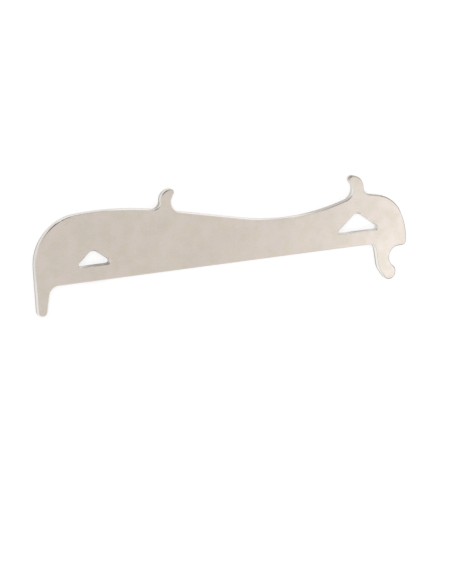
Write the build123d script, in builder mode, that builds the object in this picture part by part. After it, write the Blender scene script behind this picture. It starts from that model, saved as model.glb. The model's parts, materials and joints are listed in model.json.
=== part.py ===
from build123d import *
import os
from math import atan2, cos, degrees, radians, sin, tan

# Chain wear gauge: one stamped steel plate, drawn in millimetres.
# The outline is drawn with x from the left prong's working face and y from the straight
# chain edge, both prongs below it and both hooks above it.

# Chain that the gauge reads and holds
chain_pitch = 12.7
roller_diameter = 7.75
measured_pitches = 11
wear_limit = 0.0075
held_pitches = 5
held_slack = 2.33

# Plate
plate_thickness = 2.5
edge_radius = 0.5

# Prongs, both as wide as named at the depth where the rollers touch them
working_depth = 5.55
left_prong_width = 4.23
left_prong_length = 10.05
left_prong_lean = 1.6
left_prong_taper = 9.5
left_tip_flat = 0.15
left_root_radius = 3.4
right_prong_width = 4.9
right_prong_length = 13.55
right_prong_lean = 7.4
right_tip_width = 3.85
right_tip_radius = 2.5
right_inner_tip_radius = 2.5
right_knee_depth = 8.9
right_knee_radius = 6.0
right_root_radius = 2.4

# Roller notch behind the right prong, between the toe and the heel
toe_reach = 2.47
toe_radius = 1.4
notch_wrap = 43.0
heel_reach = 6.87
heel_lean = 2.0
heel_radius = 1.8

# Left shoulder and brow
left_face_height = 6.88
left_shoulder_radius = 16.7
left_brow_rise = 4.0
left_foot_length = 3.3
left_hook_stand = 1.72

# Right shoulder and brow
right_face_height = 0.0
right_shoulder_radius = 24.35
right_shoulder_sweep = 25.8
right_foot_length = 5.74
right_hook_stand = 3.24

# Hooks, each drawn around the roller that it holds
left_hook_height = 24.26
right_hook_height = 20.84
right_hook_setback = 17.78
left_hook_thickness = 4.1
right_hook_thickness = 4.4
left_hook_top = 4.62
right_hook_top = 4.85
hook_back_start = 0.35
hook_wrap = 33.0
nose_radius = 1.3
left_hook_root_radius = 2.5
right_hook_root_radius = 2.6

# Valley between the hooks
valley_fall = 12.05
valley_run = 24.4

# Windows, rounded triangles with their base along the chain edge
left_window_start = 14.08
left_window_base_height = 5.5
left_window_width = 14.43
left_window_height = 5.8
left_window_peak = 6.64
right_window_setback = 21.3
right_window_base_height = 5.2
right_window_width = 18.51
right_window_height = 7.22
right_window_peak = 8.92
window_corner_radius = 0.85
window_peak_radius = 2.0
window_edge_break = 0.3

# Straight that stays, at the least, between the roundings at the two ends of an edge
shortest_straight = 0.05

# Worked out from the sizes above
roller_radius = roller_diameter / 2
gauge_length = measured_pitches * chain_pitch * (1 + wear_limit) - roller_diameter
held_length = held_pitches * chain_pitch - held_slack
gauge_roller = Vector(gauge_length + roller_radius, -working_depth)
right_roller = Vector(gauge_length - right_hook_setback, right_hook_height)
left_roller = Vector(right_roller.X - held_length, left_hook_height)
windows = [
    (
        left_window_start,
        left_window_base_height,
        left_window_width,
        left_window_height,
        left_window_peak,
    ),
    (
        gauge_length - right_window_setback,
        right_window_base_height,
        right_window_width,
        right_window_height,
        right_window_peak,
    ),
]


def direction(heading):
    """Unit vector at an angle, in degrees from the direction of x."""
    return Vector(cos(radians(heading)), sin(radians(heading)))


def meet(point, along, wall_x):
    """Corner where a straight edge from a point runs into an upright edge."""
    return point + along * ((wall_x - point.X) / along.X)


def rounded_run(points, wanted_radii):
    """Straight edges with rounded corners, each radius held to the room that its edges leave."""
    edges = [end - start for start, end in zip(points, points[1:])]
    half_turns = [tan(radians(a.get_angle(b)) / 2) for a, b in zip(edges, edges[1:])]
    setbacks = [0, *(radius * half for radius, half in zip(wanted_radii, half_turns)), 0]
    shares = [min(1, (edge.length - shortest_straight) / (setbacks[i] + setbacks[i + 1]))
              for i, edge in enumerate(edges)]
    radii = [radius * min(pair) for radius, pair in zip(wanted_radii, zip(shares, shares[1:]))]
    return FilletPolyline(*points, radius=radii)


def hook_run(roller, side, thickness, rise, foot_end, foot_along, root_radius):
    """Foot, root, back and nose of a hook that stands to one side of its roller."""
    outer_x = roller.X + side * (roller_radius + thickness)
    top_y = roller.Y + rise
    seat_end = roller + Vector(side * cos(radians(hook_wrap)), sin(radians(hook_wrap))) * roller_radius
    nose_rise = top_y - seat_end.Y
    nose = Vector(seat_end.X - side * nose_rise * tan(radians(hook_wrap)), top_y)
    back = Vector(outer_x, top_y)
    root = meet(foot_end, foot_along, outer_x)
    back_radius = rise - hook_back_start
    return rounded_run([seat_end, nose, back, root, foot_end], [nose_radius, back_radius, root_radius])


with BuildSketch() as plate_face:
    with BuildLine():
        # Notch for the roller that the right prong touches, from under the heel to above the toe
        notch = CenterArc(gauge_roller, roller_radius, 90, 90 + notch_wrap)

        # Right prong, chain edge and left prong, up to the top of the left working face
        toe_x = gauge_length + toe_reach
        right_lean = tan(radians(right_prong_lean))
        right_inner_x = gauge_length - right_prong_width
        right_knee_x = right_inner_x + (right_knee_depth - working_depth) * right_lean
        left_lean = tan(radians(left_prong_lean))
        left_taper = tan(radians(left_prong_taper))
        left_below = left_prong_length - working_depth
        left_tip_outer_x = left_below * left_lean
        left_tip_inner_x = left_prong_width - left_below * left_taper
        left_face_top = Vector(-(left_face_height + working_depth) * left_lean, left_face_height)
        left_tip_turns = tan(radians(90 - left_prong_taper) / 2) + tan(radians(90 - left_prong_lean) / 2)
        left_tip_radius = (left_tip_inner_x - left_tip_outer_x - left_tip_flat) / left_tip_turns
        rounded_run(
            [
                notch @ 1,
                meet(notch @ 1, notch % 1, toe_x),
                Vector(toe_x, -right_prong_length),
                Vector(toe_x - right_tip_width, -right_prong_length),
                Vector(right_knee_x, -right_knee_depth),
                Vector(right_inner_x - working_depth * right_lean, 0),
                Vector(left_prong_width + working_depth * left_taper, 0),
                Vector(left_tip_inner_x, -left_prong_length),
                Vector(left_tip_outer_x, -left_prong_length),
                left_face_top,
            ],
            [
                toe_radius,
                right_tip_radius,
                right_inner_tip_radius,
                right_knee_radius,
                right_root_radius,
                left_root_radius,
                left_tip_radius,
                left_tip_radius,
            ],
        )

        # Left shoulder and brow, then the left hook
        left_shoulder = JernArc(
            left_face_top,
            direction(90 + left_prong_lean),
            left_shoulder_radius,
            left_brow_rise - 90 - left_prong_lean,
        )
        left_outer_x = left_roller.X - roller_radius - left_hook_thickness
        left_foot_end = Vector(left_outer_x - left_foot_length, left_roller.Y - left_hook_stand)
        left_brow = TangentArc(left_shoulder @ 1, left_foot_end, tangent=left_shoulder % 1)
        hook_run(
            left_roller,
            -1,
            left_hook_thickness,
            left_hook_top,
            left_foot_end,
            left_brow % 1,
            left_hook_root_radius,
        )
        left_seat = CenterArc(left_roller, roller_radius, 180 - hook_wrap, hook_wrap + 90 - valley_fall)

        # Valley: a straight fall, then one arc that runs out along the bottom of the right seat
        fall = PolarLine(left_seat @ 1, valley_run, -valley_fall)
        to_fall = (fall @ 1) - right_roller
        up_from_fall = direction(90 - valley_fall)
        valley_radius = (roller_radius**2 - to_fall.length**2) / (
            2 * (up_from_fall.dot(to_fall) + roller_radius)
        )
        valley_centre = (fall @ 1) + up_from_fall * valley_radius
        seat_down = (right_roller - valley_centre).normalized()
        TangentArc(fall @ 1, right_roller + seat_down * roller_radius, tangent=fall % 1)
        seat_start = degrees(atan2(seat_down.Y, seat_down.X))
        right_seat = CenterArc(right_roller, roller_radius, seat_start, hook_wrap - seat_start)

        # Heel, right shoulder and brow, then the right hook
        heel_y = gauge_roller.Y + roller_radius
        heel_corner = Vector(gauge_length + heel_reach, heel_y)
        right_face_top = heel_corner + Vector(tan(radians(heel_lean)), 1) * (right_face_height - heel_y)
        rounded_run([notch @ 0, heel_corner, right_face_top], [heel_radius])
        right_shoulder = JernArc(
            right_face_top, direction(90 - heel_lean), right_shoulder_radius, right_shoulder_sweep
        )
        right_outer_x = right_roller.X + roller_radius + right_hook_thickness
        right_foot_end = Vector(right_outer_x + right_foot_length, right_roller.Y - right_hook_stand)
        right_brow = TangentArc(right_shoulder @ 1, right_foot_end, tangent=right_shoulder % 1)
        hook_run(
            right_roller,
            1,
            right_hook_thickness,
            right_hook_top,
            right_foot_end,
            right_brow % 1,
            right_hook_root_radius,
        )
    make_face()
    for window_x, base_y, width, height, peak in windows:
        with BuildLine():
            FilletPolyline(
                (window_x, base_y),
                (window_x + width, base_y),
                (window_x + peak, base_y + height),
                radius=[window_corner_radius, window_corner_radius, window_peak_radius],
                close=True,
            )
        make_face(mode=Mode.SUBTRACT)

# The plate lies on its back face, centred on the origin
middle = plate_face.sketch.bounding_box().center()
with BuildPart() as gauge_plate:
    with BuildSketch(Plane(origin=(-middle.X, -middle.Y, 0))):
        add(plate_face.sketch)
    extrude(amount=plate_thickness)
    window_rims = ShapeList(
        edge
        for broad_face in gauge_plate.faces().filter_by(Axis.Z)
        for rim in broad_face.inner_wires()
        for edge in rim.edges()
    )
    chamfer(window_rims, window_edge_break)
    outer_rims = ShapeList(
        edge
        for broad_face in gauge_plate.faces().filter_by(Axis.Z)
        for edge in broad_face.outer_wire().edges()
    )
    fillet(outer_rims, edge_radius)

gauge_plate.part.label = "gauge_plate"
os.makedirs("parts", exist_ok=True)
export_step(gauge_plate.part, "parts/gauge_plate.step")
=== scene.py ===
"""Chain wear gauge: the finish of the steel plate, and the pale stage that it lies on."""

import json
import math

import bpy
from bpy.props import FloatProperty, FloatVectorProperty, PointerProperty
from bpy.types import Operator, Panel, PropertyGroup
from mathutils import Euler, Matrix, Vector

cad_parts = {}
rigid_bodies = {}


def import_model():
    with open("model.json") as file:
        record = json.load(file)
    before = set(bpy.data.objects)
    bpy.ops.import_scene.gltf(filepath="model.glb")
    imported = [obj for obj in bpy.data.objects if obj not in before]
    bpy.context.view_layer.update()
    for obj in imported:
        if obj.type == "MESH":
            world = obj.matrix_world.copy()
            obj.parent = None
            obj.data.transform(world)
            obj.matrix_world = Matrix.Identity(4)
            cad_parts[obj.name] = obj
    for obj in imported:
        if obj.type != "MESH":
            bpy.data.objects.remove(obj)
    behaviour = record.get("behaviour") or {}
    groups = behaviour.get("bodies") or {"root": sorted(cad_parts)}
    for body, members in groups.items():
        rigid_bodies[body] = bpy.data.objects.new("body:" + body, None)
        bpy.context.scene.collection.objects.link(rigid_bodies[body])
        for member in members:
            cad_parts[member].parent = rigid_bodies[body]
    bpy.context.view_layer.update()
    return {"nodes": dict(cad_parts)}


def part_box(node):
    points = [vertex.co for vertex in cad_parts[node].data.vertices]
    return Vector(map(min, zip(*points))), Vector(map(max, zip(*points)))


bl_info = {
    "name": "Chain wear gauge",
    "version": (1, 0, 0),
    "blender": (4, 5, 0),
    "location": "3D View > Sidebar > Gauge",
    "description": "Finishes a one-piece chain wear gauge and sets it on a pale stage",
    "category": "Object",
}

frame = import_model()
plate_low, plate_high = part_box("gauge_plate")
middle = (plate_low + plate_high) / 2
half_size = (plate_high - plate_low) / 2
thickness = plate_high.z - plate_low.z

# How upright a surface's normal is, from 0 on the wall of the stamped edge to 1 on the faces:
# where the wall fades out, where the rounded rims fade in, and where they fade out
WALL_END = (0.10, 0.45)
RIM_START = (0.30, 0.60)
RIM_END = (0.88, 0.997)

# Bands of the stamped edge, as shares of the plate's thickness above the floor
LIP = (0.0, 0.40)
LOWER_HALF = (0.0, 0.56)
WALL = (0.0, 0.84)
UPPER_WALL = (0.28, 0.92)
UPPER_HALF = (0.56, 1.20)
RIM = (0.80, 1.20)

# Stretches of the stamped edge made darker by painted shade and painted dark reflections, and
# lighter
# by painted highlights: the name of each, its middle as shares of the plate's half length and half
# depth, its reach in thicknesses of the plate, its band and its strength. Beside the highlights of
# the second list the sheet gets a little painted sheen too.
# Painted shade and painted dark reflections, darker than the rest of the edge
PAINTED_SHADE_STRETCHES = (
    ("left end", (-0.998, -0.283), 8.80, LIP, 0.85),
    ("left shoulder", (-0.905, 0.650), 1.44, RIM, 0.55),
    ("left brow, end", (-0.376, 0.707), 0.96, RIM, 0.45),
    ("left hook, root", (-0.338, 0.702), 1.20, WALL, 0.60),
    ("left hook, back", (-0.338, 0.848), 2.00, LIP, 0.70),
    ("left hook, top", (-0.311, 0.966), 1.20, RIM, 0.50),
    ("left hook, seat", (-0.268, 0.858), 1.60, RIM, 0.60),
    ("left window, base", (-0.677, -0.236), 2.80, WALL, 1.00),
    ("left window, left half of the base rim", (-0.734, -0.104), 1.44, RIM, 0.55),
    ("left window, right half of the base rim", (-0.670, -0.113), 1.60, RIM, 0.75),
    ("left window, right corner", (-0.627, -0.170), 1.32, WALL, 1.00),
    ("left window, right corner's rim", (-0.632, -0.151), 1.28, RIM, 0.95),
    ("valley", (0.570, 0.354), 5.40, UPPER_WALL, 0.50),
    ("right window, base", (0.741, -0.118), 2.24, WALL, 0.65),
    ("right window, corner", (0.841, -0.118), 1.68, WALL, 0.10),
    ("right hook, nose", (0.690, 0.853), 1.08, UPPER_HALF, 0.90),
    ("right hook, top", (0.734, 0.830), 1.60, RIM, 0.65),
    ("right hook, back", (0.760, 0.613), 1.60, RIM, 0.50),
    ("right foot", (0.824, 0.476), 2.00, RIM, 0.60),
    ("right brow", (0.887, 0.410), 2.00, RIM, 0.85),
    ("right shoulder", (0.944, 0.259), 2.20, RIM, 1.00),
    ("right side", (0.987, -0.189), 3.20, RIM, 0.95),
    ("heel", (0.941, -0.438), 2.72, RIM, 0.95),
    ("notch", (0.900, -0.613), 1.52, RIM, 0.85),
    ("right prong, toe", (0.930, -0.910), 2.16, RIM, 1.00),
    ("right prong, left side", (0.834, -0.660), 4.40, LOWER_HALF, 0.50),
)
# Painted highlights, which also spread a little painted sheen onto the sheet beside them
PAINTED_HIGHLIGHT_AND_SHEEN_STRETCHES = (
    ("left prong", (-0.969, -0.613), 4.80, RIM, 0.60),
    ("right hook, left side", (0.696, 0.731), 1.04, RIM, 0.90),
    ("right hook, seat", (0.713, 0.566), 1.60, RIM, 1.00),
    ("right prong, left side", (0.830, -0.636), 3.40, UPPER_HALF, 0.80),
    ("right prong, tip", (0.855, -0.896), 2.00, UPPER_HALF, 0.50),
)
# Painted highlights on the edge only
PAINTED_HIGHLIGHT_STRETCHES = (
    ("left shoulder, top", (-0.824, 0.740), 2.16, RIM, 0.80),
    ("left brow", (-0.492, 0.726), 4.20, RIM, 1.00),
    ("left hook, root", (-0.346, 0.745), 0.96, RIM, 0.80),
    ("left window, left corner", (-0.777, -0.028), 1.92, RIM, 1.00),
    ("left window, peak", (-0.700, 0.160), 1.52, RIM, 1.00),
    ("left window, right side", (-0.649, 0.047), 2.24, RIM, 0.90),
    ("right window, right side", (0.763, 0.141), 3.00, RIM, 0.80),
    ("valley, fall", (-0.114, 0.486), 6.40, RIM, 1.00),
    ("valley, bottom", (0.071, 0.368), 6.40, RIM, 1.00),
    ("valley, rise", (0.428, 0.288), 3.00, RIM, 0.90),
)

# A stretch is at its full strength within this share of its reach. Its middle lies this high
# in the plate, and its band ends over this height, both as shares of the thickness.
FULL_WITHIN = 0.40
STRETCH_HEIGHT = 0.40
BAND_BLUR = 0.04

# Darkening along the foot of the edge, partly the lip that stamping tears and partly painted
# contact
# shade: where it fades out, as shares of the thickness, and how dark it is
TORN_LIP_AND_SHADE_FADE = (0.16, 0.48)
TORN_LIP_AND_SHADE_DARKNESS = 0.16

# Share of the painted highlights of the second list that the sheet beside them takes on as painted
# sheen
SHEET_PAINTED_SHEEN = 0.09

# Where the noise of the patches and clouds starts and is full, and the clouds' width in patches
PATCH_RANGE = (0.38, 0.66)
CLOUD_RANGE = (0.30, 0.70)
CLOUD_WIDTH = 2.63

# Hairline scratches: each direction in radians with the cells of its noise in a metre along
# it, the cells in a metre across it, where the noise starts and is full, and their height as a
# share of the grain's
SCRATCH_DIRECTIONS = ((0.35, 60.0), (1.45, 45.0), (2.45, 75.0))
SCRATCH_FINENESS = 2400.0
SCRATCH_RANGE = (0.66, 0.76)
SCRATCH_HEIGHT = -0.4

# How much each effect adds to the roughness
GRAIN_ROUGHNESS = 0.10
PATCH_ROUGHNESS = 0.04
SCRATCH_ROUGHNESS = -0.06
RIM_ROUGHNESS = -0.10
WALL_ROUGHNESS = -0.04

# Lamps: where each stands, what it points at, and its width, in metres
MAIN_LAMP = ((-0.9, 0.7, 1.2), (0.0, 0.0, 0.0), 1.0)
SIDE_LAMP = ((0.160, -0.056, 0.12), (0.058, -0.008, 0.0), 0.10)
SIDE_LAMP_COLOUR = (0.90, 0.93, 1.0)

# Direction of the dark side of the surroundings that the rims mirror, and the cosines of the
# angles from it where the dark starts and is full
DARK_SIDE = (-0.15, 0.64, 0.753)
DARK_RANGE = (0.85, 0.93)

# Light that the floor gives off for the camera and in mirrors, so that it reads as white
FLOOR_GLOW = 0.60

# Camera: the width of its sensor in millimetres, and the nearest and farthest that it sees, in
# metres
SENSOR_WIDTH = 36.0
SEEN_FROM = 0.01
SEEN_TO = 20.0


# Values a user would change

class PlateProperties(PropertyGroup):
    steel_colour: FloatVectorProperty(
        name="Steel colour",
        description="Colour of the nickel-plated steel, seen in even white light",
        subtype="COLOR", size=3, min=0.0, max=1.0,
        default=(0.692, 0.620, 0.560),
    )
    patch_colour: FloatVectorProperty(
        name="Patch colour",
        description="Colour of the faint yellowish patches on the faces",
        subtype="COLOR", size=3, min=0.0, max=1.0,
        default=(0.672, 0.606, 0.520),
    )
    edge_colour: FloatVectorProperty(
        name="Cut edge colour",
        description="Colour of the stamped edge and its rounded rims, where the bare cut is bright",
        subtype="COLOR", size=3, min=0.0, max=1.0,
        default=(0.750, 0.716, 0.680),
    )
    # Colour of the painted shade and painted dark reflections in stretches of the edge
    painted_shade_colour: FloatVectorProperty(
        name="Painted shade colour",
        description="Colour of the painted-shade places on the stamped edge",
        subtype="COLOR", size=3, min=0.0, max=1.0,
        default=(0.260, 0.235, 0.210),
    )
    # Colour of the painted highlights on the edge, and of the painted sheen on the sheet beside
    # some of them
    painted_highlight_colour: FloatVectorProperty(
        name="Painted highlight colour",
        description="Colour of the brightest places on the stamped edge",
        subtype="COLOR", size=3, min=0.0, max=1.0,
        default=(0.970, 0.940, 0.900),
    )
    sheet_shade: FloatProperty(
        name="Darkest shade",
        description="Share of its colour that the sheet keeps where clouds and grain are darkest",
        subtype="FACTOR", min=0.0, max=1.0, default=0.81,
    )
    cloud_contrast: FloatProperty(
        name="Cloud contrast",
        description="How much the wide clouds lighten the faces",
        subtype="FACTOR", min=0.0, max=1.0, default=0.04,
    )
    grain_contrast: FloatProperty(
        name="Grain contrast",
        description="How much the fine grain lightens the faces",
        subtype="FACTOR", min=0.0, max=1.0, default=0.34,
    )
    roughness: FloatProperty(
        name="Roughness",
        description="Roughness of the satin faces where the grain is finest",
        subtype="FACTOR", min=0.05, max=1.0, default=0.29,
    )
    patch_size: FloatProperty(
        name="Patch size",
        description="Usual width of the faint patches on the faces",
        subtype="DISTANCE", unit="LENGTH", min=0.001, default=0.0035,
    )
    grain_size: FloatProperty(
        name="Grain size",
        description="Width of the fine grain that tumbling leaves on the faces",
        subtype="DISTANCE", unit="LENGTH", min=0.00005, default=0.00035,
    )
    grain_depth: FloatProperty(
        name="Grain depth",
        description="Height of the fine grain",
        subtype="DISTANCE", unit="LENGTH", min=0.0, default=0.000010,
    )


class StageProperties(PropertyGroup):
    floor_width: FloatProperty(
        name="Floor width",
        description="Width of the square floor",
        subtype="DISTANCE", unit="LENGTH", min=0.5, default=3.0,
    )
    floor_colour: FloatVectorProperty(
        name="Floor colour",
        description="Colour of the plain floor",
        subtype="COLOR", size=3, min=0.0, max=1.0,
        default=(0.60, 0.60, 0.60),
    )
    sky_strength: FloatProperty(
        name="Surrounding light",
        description="Strength of the even light from all sides",
        min=0.0, default=0.62,
    )
    mirrored_strength: FloatProperty(
        name="Mirrored surroundings",
        description="How bright the surroundings look where the metal mirrors them",
        min=0.0, default=0.908,
    )
    dark_side_strength: FloatProperty(
        name="Mirrored dark side",
        description="How bright the dark side of the surroundings looks where the metal mirrors it",
        min=0.0, default=0.08,
    )
    main_strength: FloatProperty(
        name="Main lamp",
        description="Power of the wide lamp over the plate",
        subtype="POWER", unit="POWER", min=0.0, default=6.0,
    )
    side_strength: FloatProperty(
        name="Side lamp",
        description="Power of the small lamp beside the notched prong",
        subtype="POWER", unit="POWER", min=0.0, default=0.0260,
    )
    camera_place: FloatVectorProperty(
        name="Camera place",
        description="Where the camera stands",
        subtype="TRANSLATION", unit="LENGTH", size=3,
        default=(-0.36997, 0.22543, 0.87042),
    )
    camera_turn: FloatVectorProperty(
        name="Camera turn",
        description="How the camera is turned",
        subtype="EULER", unit="ROTATION", size=3,
        default=(math.radians(-13.7096), math.radians(-23.4962), math.radians(-1.8724)),
    )
    camera_lens: FloatProperty(
        name="Camera lens",
        description="Focal length on a sensor of 36 mm",
        subtype="DISTANCE_CAMERA", unit="CAMERA", min=10.0, default=172.6,
    )


# Node helpers

def new_tree(owner):
    """Empties the node tree of a material or world."""
    owner.use_nodes = True
    owner.node_tree.nodes.clear()
    return owner.node_tree


def add_node(tree, kind, settings=None, **values):
    """Adds a node, and sets or links its inputs by name or number."""
    node = tree.nodes.new(kind)
    for key, value in (settings or {}).items():
        setattr(node, key, value)
    for key, value in values.items():
        place = int(key[1:]) if key[0] == "i" and key[1:].isdigit() else key.replace("_", " ")
        socket = node.inputs[place]
        if isinstance(value, bpy.types.NodeSocket):
            tree.links.new(value, socket)
        else:
            socket.default_value = value
    return node


def calculate(tree, operation, first, second=0.0):
    """One step of arithmetic."""
    settings = {"operation": operation}
    return add_node(tree, "ShaderNodeMath", settings, i0=first, i1=second).outputs[0]


def scale_onto(tree, value, factor, base):
    """A value times a factor, on top of a base."""
    settings = {"operation": "MULTIPLY_ADD"}
    return add_node(tree, "ShaderNodeMath", settings, i0=value, i1=factor, i2=base).outputs[0]


def ramp(tree, value, span, bottom=0.0, top=1.0):
    """Carries a value smoothly from bottom at the start of a span to top at its end."""
    settings = {"interpolation_type": "SMOOTHSTEP"}
    low, high = span
    node = add_node(
        tree, "ShaderNodeMapRange", settings,
        i0=value, i1=low, i2=high, i3=bottom, i4=top,
    )
    return node.outputs[0]


def blend_colours(tree, share, first, second):
    """A colour between two others."""
    node = add_node(tree, "ShaderNodeMix", {"data_type": "RGBA"}, i0=share, i6=first, i7=second)
    return node.outputs[2]


def add_noise(tree, place, scale, detail, roughness):
    """The value of a noise texture."""
    node = add_node(
        tree, "ShaderNodeTexNoise",
        Vector=place, Scale=scale, Detail=detail, Roughness=roughness,
    )
    return node.outputs["Fac"]


def new_group(name, inputs, outputs):
    """A shader node group with named sockets, and its two end nodes."""
    group = bpy.data.node_groups.new(name, "ShaderNodeTree")
    for label, kind in inputs:
        group.interface.new_socket(label, in_out="INPUT", socket_type=kind)
    for label, kind in outputs:
        group.interface.new_socket(label, in_out="OUTPUT", socket_type=kind)
    return group, group.nodes.new("NodeGroupInput"), group.nodes.new("NodeGroupOutput")


# Shared effects

def make_edge_group():
    """Tells the faces, the rounded rims and the cut edge apart by where the surface faces."""
    group, start, end = new_group(
        "edge_zones",
        [("Normal", "NodeSocketVector")],
        [("Wall", "NodeSocketFloat"), ("Rim", "NodeSocketFloat")],
    )
    parts = add_node(group, "ShaderNodeSeparateXYZ", i0=start.outputs["Normal"])
    upright = calculate(group, "ABSOLUTE", parts.outputs["Z"])
    wall = ramp(group, upright, WALL_END, 1.0, 0.0)
    above = ramp(group, upright, RIM_START)
    below = ramp(group, upright, RIM_END, 1.0, 0.0)
    rim = calculate(group, "MULTIPLY", above, below)
    group.links.new(wall, end.inputs["Wall"])
    group.links.new(rim, end.inputs["Rim"])
    return group


def make_satin_group():
    """Patches, fine grain and hairline scratches of a tumbled and plated face."""
    group, start, end = new_group(
        "satin_face",
        [
            ("Place", "NodeSocketVector"),
            ("Patch Size", "NodeSocketFloat"),
            ("Grain Size", "NodeSocketFloat"),
        ],
        [
            ("Patches", "NodeSocketFloat"),
            ("Cloud", "NodeSocketFloat"),
            ("Grain", "NodeSocketFloat"),
            ("Scratches", "NodeSocketFloat"),
        ],
    )
    place = start.outputs["Place"]
    patch_scale = calculate(group, "DIVIDE", 1.0, start.outputs["Patch Size"])
    cloud_scale = calculate(group, "DIVIDE", patch_scale, CLOUD_WIDTH)
    grain_scale = calculate(group, "DIVIDE", 1.0, start.outputs["Grain Size"])
    patches = add_noise(group, place, patch_scale, detail=3.0, roughness=0.55)
    cloud = add_noise(group, place, cloud_scale, detail=2.0, roughness=0.5)
    grain = add_noise(group, place, grain_scale, detail=3.0, roughness=0.6)
    group.links.new(ramp(group, patches, PATCH_RANGE), end.inputs["Patches"])
    group.links.new(ramp(group, cloud, CLOUD_RANGE), end.inputs["Cloud"])
    group.links.new(grain, end.inputs["Grain"])
    strokes = 0.0
    for turn, lengthwise in SCRATCH_DIRECTIONS:
        mapped = add_node(
            group, "ShaderNodeMapping",
            Vector=place, Rotation=(0.0, 0.0, turn),
            Scale=(lengthwise, SCRATCH_FINENESS, SCRATCH_FINENESS),
        )
        lines = add_noise(group, mapped.outputs[0], 1.0, detail=1.0, roughness=0.5)
        strokes = calculate(group, "MAXIMUM", strokes, ramp(group, lines, SCRATCH_RANGE))
    group.links.new(strokes, end.inputs["Scratches"])
    return group


def make_stretch_group():
    """Marks one stretch of the edge: near its middle, and between two heights."""
    group, start, end = new_group(
        "edge_stretch",
        [
            ("Place", "NodeSocketVector"),
            ("Middle", "NodeSocketVector"),
            ("Reach", "NodeSocketFloat"),
            ("Low", "NodeSocketFloat"),
            ("High", "NodeSocketFloat"),
            ("Strength", "NodeSocketFloat"),
        ],
        [("Share", "NodeSocketFloat")],
    )
    place = start.outputs["Place"]
    level = add_node(group, "ShaderNodeSeparateXYZ", i0=place).outputs["Z"]
    apart = add_node(
        group, "ShaderNodeVectorMath", {"operation": "DISTANCE"},
        i0=place, i1=start.outputs["Middle"],
    ).outputs["Value"]
    reached = calculate(group, "DIVIDE", apart, start.outputs["Reach"])
    near = ramp(group, reached, (FULL_WITHIN, 1.0), 1.0, 0.0)
    share = calculate(group, "MULTIPLY", start.outputs["Strength"], near)
    above = calculate(group, "SUBTRACT", level, start.outputs["Low"])
    below = calculate(group, "SUBTRACT", start.outputs["High"], level)
    blur = BAND_BLUR * thickness
    for inside in (above, below):
        share = calculate(group, "MULTIPLY", share, ramp(group, inside, (-blur, blur)))
    group.links.new(share, end.inputs["Share"])
    return group


def gather_stretches(tree, group, place, stretches, share):
    """The strongest of several stretches of the edge at each place, or the given share."""
    for label, (along, across), reach, (low, high), strength in stretches:
        spot = (
            middle.x + along * half_size.x,
            middle.y + across * half_size.y,
            plate_low.z + STRETCH_HEIGHT * thickness,
        )
        stretch = add_node(
            tree, "ShaderNodeGroup", {"node_tree": group, "label": label},
            Place=place, Middle=spot, Reach=reach * thickness,
            Low=low * thickness, High=high * thickness, Strength=strength,
        )
        share = calculate(tree, "MAXIMUM", stretch.outputs["Share"], share)
    return share


# Finishes

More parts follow.
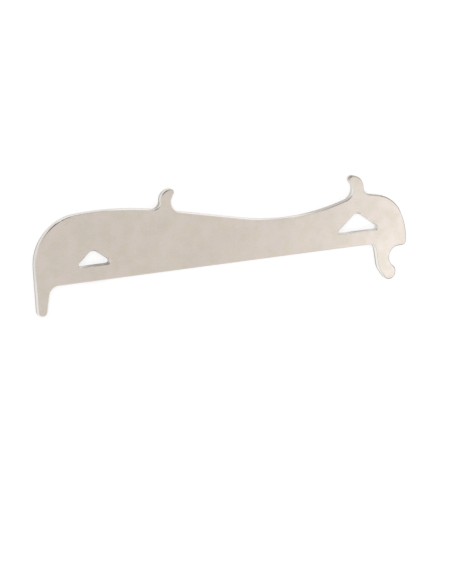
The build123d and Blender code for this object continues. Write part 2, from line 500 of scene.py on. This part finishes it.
def make_steel(values, edges, satin, stretch):
    """Satin nickel on steel sheet: soft patches, fine grain, smoother rims, plainer cut edge,
    painted shade and painted highlights along the edge.
    """
    material = bpy.data.materials.new("satin_nickel_steel")
    tree = new_tree(material)
    output = tree.nodes.new("ShaderNodeOutputMaterial")
    shader = add_node(tree, "ShaderNodeBsdfPrincipled", Metallic=1.0)
    tree.links.new(shader.outputs[0], output.inputs["Surface"])

    where = tree.nodes.new("ShaderNodeTexCoord")
    place = where.outputs["Object"]
    zones = add_node(tree, "ShaderNodeGroup", {"node_tree": edges}, Normal=where.outputs["Normal"])
    face = add_node(
        tree, "ShaderNodeGroup", {"node_tree": satin},
        Place=place, Patch_Size=values.patch_size, Grain_Size=values.grain_size,
    )
    wall, rim = zones.outputs["Wall"], zones.outputs["Rim"]

    tinted = blend_colours(
        tree, face.outputs["Patches"],
        (*values.steel_colour, 1.0), (*values.patch_colour, 1.0),
    )
    clouded = scale_onto(tree, face.outputs["Cloud"], values.cloud_contrast, values.sheet_shade)
    shade = scale_onto(tree, face.outputs["Grain"], values.grain_contrast, clouded)
    shaded = add_node(
        tree, "ShaderNodeMix", {"data_type": "RGBA", "blend_type": "MULTIPLY"},
        i0=1.0, i6=tinted, i7=shade,
    ).outputs[2]
    level = add_node(tree, "ShaderNodeSeparateXYZ", i0=place).outputs["Z"]
    # Darker along the foot of the edge, partly the lip that stamping tears and partly painted
    # contact shade
    torn_lip_and_shade_heights = [share * thickness for share in TORN_LIP_AND_SHADE_FADE]
    torn_lip_and_shade = ramp(tree, level, torn_lip_and_shade_heights, TORN_LIP_AND_SHADE_DARKNESS, 0.0)
    # Painted shade and painted dark reflections in the listed stretches of the edge
    painted_shade_and_torn_lip = gather_stretches(tree, stretch, place, PAINTED_SHADE_STRETCHES, torn_lip_and_shade)
    # Painted highlights on the edge; some of them also spread a painted sheen onto the sheet beside
    # them
    painted_sheen_highlight = gather_stretches(tree, stretch, place, PAINTED_HIGHLIGHT_AND_SHEEN_STRETCHES, 0.0)
    bright = gather_stretches(tree, stretch, place, PAINTED_HIGHLIGHT_STRETCHES, painted_sheen_highlight)
    # The cut edge's colour, lightened by painted highlights and darkened by painted shade
    edge = blend_colours(tree, bright, (*values.edge_colour, 1.0), (*values.painted_highlight_colour, 1.0))
    edge = blend_colours(tree, painted_shade_and_torn_lip, edge, (*values.painted_shade_colour, 1.0))
    # Painted sheen on the sheet beside some painted highlights
    painted_sheen_share = calculate(tree, "MULTIPLY", painted_sheen_highlight, SHEET_PAINTED_SHEEN)
    sheet = blend_colours(tree, painted_sheen_share, shaded, (*values.painted_highlight_colour, 1.0))
    outside_faces = calculate(tree, "MAXIMUM", wall, rim)
    tree.links.new(blend_colours(tree, outside_faces, sheet, edge), shader.inputs["Base Color"])

    rough = scale_onto(tree, face.outputs["Grain"], GRAIN_ROUGHNESS, values.roughness)
    rough = scale_onto(tree, face.outputs["Patches"], PATCH_ROUGHNESS, rough)
    rough = scale_onto(tree, face.outputs["Scratches"], SCRATCH_ROUGHNESS, rough)
    rough = scale_onto(tree, rim, RIM_ROUGHNESS, rough)
    rough = scale_onto(tree, wall, WALL_ROUGHNESS, rough)
    tree.links.new(rough, shader.inputs["Roughness"])

    height = scale_onto(tree, face.outputs["Scratches"], SCRATCH_HEIGHT, face.outputs["Grain"])
    bump = add_node(
        tree, "ShaderNodeBump",
        Strength=1.0, Distance=values.grain_depth, Height=height,
    )
    tree.links.new(bump.outputs[0], shader.inputs["Normal"])
    return material


def make_floor_finish(values):
    """Plain pale floor that reads as white and keeps the shadow."""
    material = bpy.data.materials.new("pale_floor")
    tree = new_tree(material)
    output = tree.nodes.new("ShaderNodeOutputMaterial")
    shader = add_node(
        tree, "ShaderNodeBsdfPrincipled",
        Base_Color=(*values.floor_colour, 1.0), Roughness=0.9, Specular_IOR_Level=0.0,
    )
    shader.inputs["Emission Color"].default_value = (1.0, 1.0, 1.0, 1.0)
    path = tree.nodes.new("ShaderNodeLightPath")
    seen = calculate(
        tree, "MAXIMUM", path.outputs["Is Camera Ray"], path.outputs["Is Glossy Ray"]
    )
    seen = calculate(tree, "MAXIMUM", seen, path.outputs["Is Transmission Ray"])
    glow = calculate(tree, "MULTIPLY", seen, FLOOR_GLOW)
    tree.links.new(glow, shader.inputs["Emission Strength"])
    tree.links.new(shader.outputs[0], output.inputs["Surface"])
    return material


def make_surroundings(values):
    """Even light from all sides, white for the camera, with one dark side in mirrors."""
    world = bpy.data.worlds.new("studio")
    tree = new_tree(world)
    output = tree.nodes.new("ShaderNodeOutputWorld")
    path = tree.nodes.new("ShaderNodeLightPath")
    seen = calculate(
        tree, "MAXIMUM", path.outputs["Is Camera Ray"], path.outputs["Is Transmission Ray"]
    )
    sky = tree.nodes.new("ShaderNodeTexCoord").outputs["Generated"]
    towards_dark = add_node(
        tree, "ShaderNodeVectorMath", {"operation": "DOT_PRODUCT"}, i0=sky, i1=DARK_SIDE
    ).outputs["Value"]
    mirrored = ramp(
        tree, towards_dark, DARK_RANGE, values.mirrored_strength, values.dark_side_strength
    )
    light = add_node(
        tree, "ShaderNodeMix", {"data_type": "FLOAT"},
        i0=path.outputs["Is Glossy Ray"], i2=values.sky_strength, i3=mirrored,
    ).outputs[0]
    even = add_node(tree, "ShaderNodeBackground", Strength=light)
    white = add_node(tree, "ShaderNodeBackground", Strength=1.0)
    for background in (even, white):
        background.inputs["Color"].default_value = (1.0, 1.0, 1.0, 1.0)
    mixed = add_node(
        tree, "ShaderNodeMixShader", i0=seen, i1=even.outputs[0], i2=white.outputs[0]
    )
    tree.links.new(mixed.outputs[0], output.inputs["Surface"])
    return world


# Operators

def deselect_all():
    """Leaves nothing selected."""
    for thing in bpy.context.view_layer.objects:
        thing.select_set(False)


def add_lamp(name, placing, power):
    """A square lamp that faces its target."""
    place, target, width = placing
    bpy.ops.object.light_add(type="AREA", location=place)
    lamp = bpy.context.object
    lamp.name = lamp.data.name = name
    lamp.data.shape = "SQUARE"
    lamp.data.size = width
    lamp.data.energy = power
    lamp.rotation_euler = (Vector(target) - Vector(place)).to_track_quat("-Z", "Y").to_euler()
    return lamp


class GAUGE_OT_finish_plate(Operator):
    """Gives the gauge plate its satin nickel finish, with painted shade and painted highlights
    along its edge
    """

    bl_idname = "gauge.finish_plate"
    bl_label = "Finish the plate"
    bl_options = {"REGISTER", "UNDO"}

    def execute(self, context):
        plate = frame["nodes"]["gauge_plate"]
        if not plate.material_slots:
            raise RuntimeError("the gauge plate has no material slot")
        steel = make_steel(
            context.scene.gauge_plate, make_edge_group(), make_satin_group(), make_stretch_group()
        )
        for slot in plate.material_slots:
            slot.material = steel
        return {"FINISHED"}


class GAUGE_OT_build_stage(Operator):
    """Builds the floor, the lights, the surroundings and the camera"""

    bl_idname = "gauge.build_stage"
    bl_label = "Build the stage"
    bl_options = {"REGISTER", "UNDO"}

    def execute(self, context):
        values = context.scene.gauge_stage
        deselect_all()
        bpy.ops.mesh.primitive_plane_add(
            size=values.floor_width, location=(0.0, 0.0, plate_low.z)
        )
        floor = context.object
        floor.name = "floor"
        floor.data.materials.append(make_floor_finish(values))

        main_lamp = add_lamp("main_lamp", MAIN_LAMP, values.main_strength)
        main_lamp.visible_glossy = False
        side_lamp = add_lamp("side_lamp", SIDE_LAMP, values.side_strength)
        side_lamp.data.color = SIDE_LAMP_COLOUR

        context.scene.world = make_surroundings(values)

        deselect_all()
        bpy.ops.object.camera_add(
            location=values.camera_place, rotation=Euler(values.camera_turn, "XYZ")
        )
        camera = context.object
        camera.name = "camera"
        camera.data.sensor_width = SENSOR_WIDTH
        camera.data.lens = values.camera_lens
        camera.data.clip_start = SEEN_FROM
        camera.data.clip_end = SEEN_TO
        context.scene.camera = camera
        context.scene.view_settings.view_transform = "Standard"
        return {"FINISHED"}


class GAUGE_PT_panel(Panel):
    """Lists the steps that make the gauge"""

    bl_idname = "GAUGE_PT_panel"
    bl_label = "Chain wear gauge"
    bl_space_type = "VIEW_3D"
    bl_region_type = "UI"
    bl_category = "Gauge"

    def draw(self, context):
        steps = (
            (context.scene.gauge_plate, GAUGE_OT_finish_plate),
            (context.scene.gauge_stage, GAUGE_OT_build_stage),
        )
        for values, step in steps:
            box = self.layout.box()
            for name in type(values).__annotations__:
                box.prop(values, name)
            box.operator(step.bl_idname)


CLASSES = (
    PlateProperties,
    StageProperties,
    GAUGE_OT_finish_plate,
    GAUGE_OT_build_stage,
    GAUGE_PT_panel,
)


def register():
    for kind in CLASSES:
        bpy.utils.register_class(kind)
    bpy.types.Scene.gauge_plate = PointerProperty(type=PlateProperties)
    bpy.types.Scene.gauge_stage = PointerProperty(type=StageProperties)


def unregister():
    del bpy.types.Scene.gauge_stage
    del bpy.types.Scene.gauge_plate
    for kind in reversed(CLASSES):
        bpy.utils.unregister_class(kind)


def main():
    register()
    bpy.ops.gauge.finish_plate()
    bpy.ops.gauge.build_stage()


if __name__ == "__main__":
    main()
